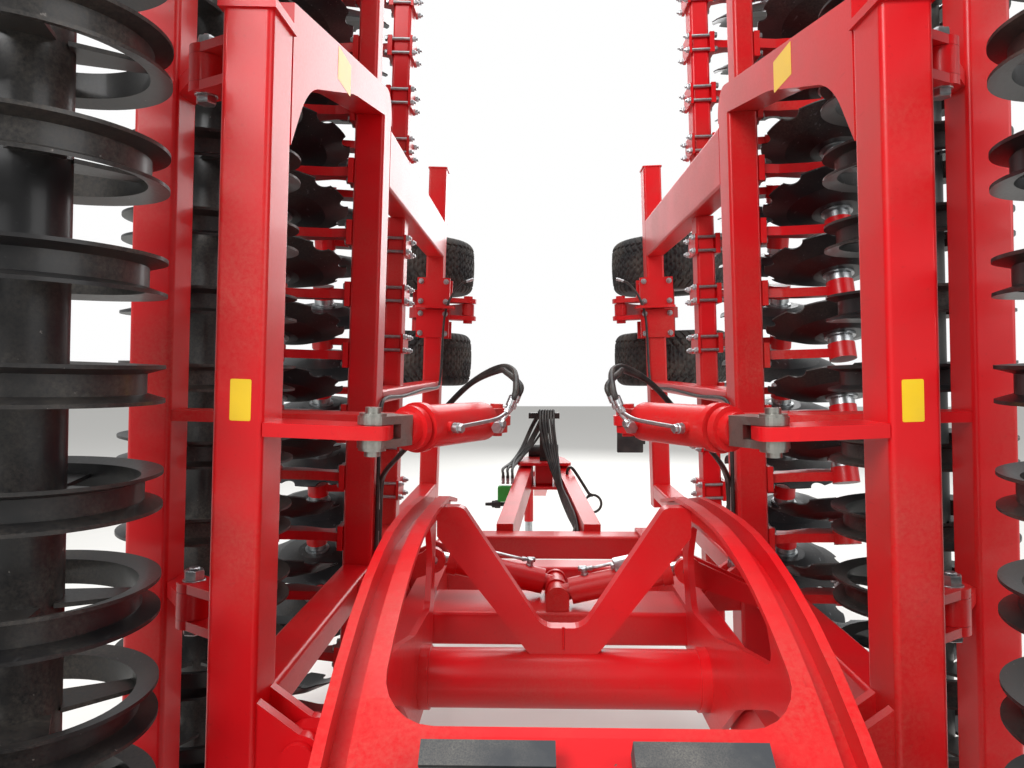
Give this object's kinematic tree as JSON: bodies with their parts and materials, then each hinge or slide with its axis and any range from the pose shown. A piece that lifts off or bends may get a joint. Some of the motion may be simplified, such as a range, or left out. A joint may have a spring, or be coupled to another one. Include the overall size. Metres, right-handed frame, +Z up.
{
  "type": "folded disc harrow",
  "caption": "Trailed compact disc harrow with two wings folded upright, notched discs, twin ring rollers, gauge wheels and a transport axle on a swan-neck yoke.",
  "frame": {"origin": "on the ground, under the middle of the machine as it stands folded", "axes": "+Y towards the hitch, +X to the right seen from behind, +Z up"},
  "size_m": [3.0048, 7.807, 3.9535],
  "materials": {
    "bare_steel": "bare forged steel",
    "black_paint": "satin black paint, dusty",
    "black_plastic": "black plastic",
    "chrome": "hard chrome rod",
    "disc_black": "satin black paint with worn edges",
    "red_paint": "gloss signal red paint",
    "rubber": "grey black moulded rubber",
    "silver_paint": "silver wheel paint",
    "tyre": "black tyre rubber",
    "zinc": "zinc plated"
  },
  "bodies": {
    "chassis": {"side_beams": "red_paint", "cross_members": "red_paint", "drawbar": "red_paint", "hitch_eye": "bare_steel", "jack_tube": "red_paint", "document_tube": "black_plastic", "hose_rack": "black_paint"},
    "yoke": {"yoke_arms": "red_paint", "yoke_bridge": "red_paint", "pivot_tube": "red_paint", "v_brace": "red_paint", "rubber_pads": "rubber", "axle": "red_paint"},
    "jack": {"jack_leg": "zinc"},
    "wheel_left": {"rim_left": "silver_paint", "tyre_left": "tyre"},
    "wheel_right": {"rim_right": "silver_paint", "tyre_right": "tyre"},
    "wing_left": {"rear_tube_left": "red_paint", "mid_tube_left": "red_paint", "front_tube_left": "red_paint", "frame_beams_left": "red_paint", "disc_beam_left": "red_paint", "disc_arms_left": "red_paint", "disc_hubs_left": "zinc", "discs_left": "disc_black", "roller_carrier_left": "red_paint", "roller_plates_left": "red_paint", "gauge_arm_left": "red_paint", "depth_cylinder_left": "red_paint", "depth_fork_left": "bare_steel"},
    "rear_roller_left": {"roller_rear_left": "black_paint"},
    "front_roller_left": {"roller_front_left": "black_paint"},
    "gauge_wheels_left": {"gauge_rims_left": "silver_paint", "gauge_tyres_left": "tyre"},
    "fold_cylinder_left": {"fold_barrel_left": "red_paint"},
    "fold_piston_left": {"fold_rod_left": "chrome"},
    "wing_right": {"rear_tube_right": "red_paint", "mid_tube_right": "red_paint", "front_tube_right": "red_paint", "frame_beams_right": "red_paint", "disc_beam_right": "red_paint", "disc_arms_right": "red_paint", "disc_hubs_right": "zinc", "discs_right": "disc_black", "roller_carrier_right": "red_paint", "roller_plates_right": "red_paint", "gauge_arm_right": "red_paint", "depth_cylinder_right": "red_paint", "depth_fork_right": "bare_steel"},
    "rear_roller_right": {"roller_rear_right": "black_paint"},
    "front_roller_right": {"roller_front_right": "black_paint"},
    "gauge_wheels_right": {"gauge_rims_right": "silver_paint", "gauge_tyres_right": "tyre"},
    "fold_cylinder_right": {"fold_barrel_right": "red_paint"},
    "fold_piston_right": {"fold_rod_right": "chrome"}
  },
  "joints": [
    {"name": "yoke_lift", "type": "hinge", "parent": "chassis", "child": "yoke", "pos_m": [0, -1.8085, 0.84], "axis": [-1, 0, 0], "range_deg": [0, 11]},
    {"name": "jack_slide", "type": "slide", "parent": "chassis", "child": "jack", "axis": [0, 0, 1], "range_m": [0, 0.3]},
    {"name": "wheel_left_spin", "type": "hinge", "parent": "yoke", "child": "wheel_left", "pos_m": [-0.93, -3.3785, 0.525], "axis": [1, 0, 0], "continuous": true},
    {"name": "wheel_right_spin", "type": "hinge", "parent": "yoke", "child": "wheel_right", "pos_m": [0.93, -3.3785, 0.525], "axis": [1, 0, 0], "continuous": true},
    {"name": "wing_left_fold", "type": "hinge", "parent": "chassis", "child": "wing_left", "pos_m": [-0.65, -1.8085, 0.845], "axis": [0, -1, 0], "range_deg": [0, 92]},
    {"name": "rear_roller_left_spin", "type": "hinge", "parent": "wing_left", "child": "rear_roller_left", "pos_m": [-1.16473, -2.4885, 2.09373], "axis": [0.0349, 0, 0.9994], "continuous": true},
    {"name": "front_roller_left_spin", "type": "hinge", "parent": "wing_left", "child": "front_roller_left", "pos_m": [-1.16473, -1.5585, 2.09373], "axis": [0.0349, 0, 0.9994], "continuous": true},
    {"name": "gauge_wheels_left_spin", "type": "hinge", "parent": "wing_left", "child": "gauge_wheels_left", "pos_m": [-0.97801, 1.7415, 2.19727], "axis": [0.0349, 0, 0.9994], "continuous": true},
    {"name": "fold_cylinder_left_swing", "type": "hinge", "parent": "chassis", "child": "fold_cylinder_left", "pos_m": [0, -1.1865, 0.945], "axis": [0, -1, 0], "range_deg": [0, 7.53]},
    {"name": "fold_piston_left_slide", "type": "slide", "parent": "fold_cylinder_left", "child": "fold_piston_left", "axis": [-0.9763, 0, 0.2166], "range_m": [0, 0.3846]},
    {"name": "wing_right_fold", "type": "hinge", "parent": "chassis", "child": "wing_right", "pos_m": [0.65, -1.8085, 0.845], "axis": [0, 1, 0], "range_deg": [0, 92]},
    {"name": "rear_roller_right_spin", "type": "hinge", "parent": "wing_right", "child": "rear_roller_right", "pos_m": [1.16473, -2.4885, 2.09373], "axis": [-0.0349, 0, 0.9994], "continuous": true},
    {"name": "front_roller_right_spin", "type": "hinge", "parent": "wing_right", "child": "front_roller_right", "pos_m": [1.16473, -1.5585, 2.09373], "axis": [-0.0349, 0, 0.9994], "continuous": true},
    {"name": "gauge_wheels_right_spin", "type": "hinge", "parent": "wing_right", "child": "gauge_wheels_right", "pos_m": [0.97801, 1.7415, 2.19727], "axis": [-0.0349, 0, 0.9994], "continuous": true},
    {"name": "fold_cylinder_right_swing", "type": "hinge", "parent": "chassis", "child": "fold_cylinder_right", "pos_m": [0, -1.3105, 0.945], "axis": [0, 1, 0], "range_deg": [0, 7.53]},
    {"name": "fold_piston_right_slide", "type": "slide", "parent": "fold_cylinder_right", "child": "fold_piston_right", "axis": [0.9763, 0, 0.2166], "range_m": [0, 0.3846]}
  ],
  "couplings": [
    {"joint": "fold_cylinder_left_swing", "follows": "wing_left_fold", "ratio": 0.081772},
    {"joint": "fold_piston_left_slide", "follows": "wing_left_fold", "m_per_rad": 0.23922},
    {"joint": "fold_cylinder_right_swing", "follows": "wing_right_fold", "ratio": 0.081772},
    {"joint": "fold_piston_right_slide", "follows": "wing_right_fold", "m_per_rad": 0.23922}
  ]
}
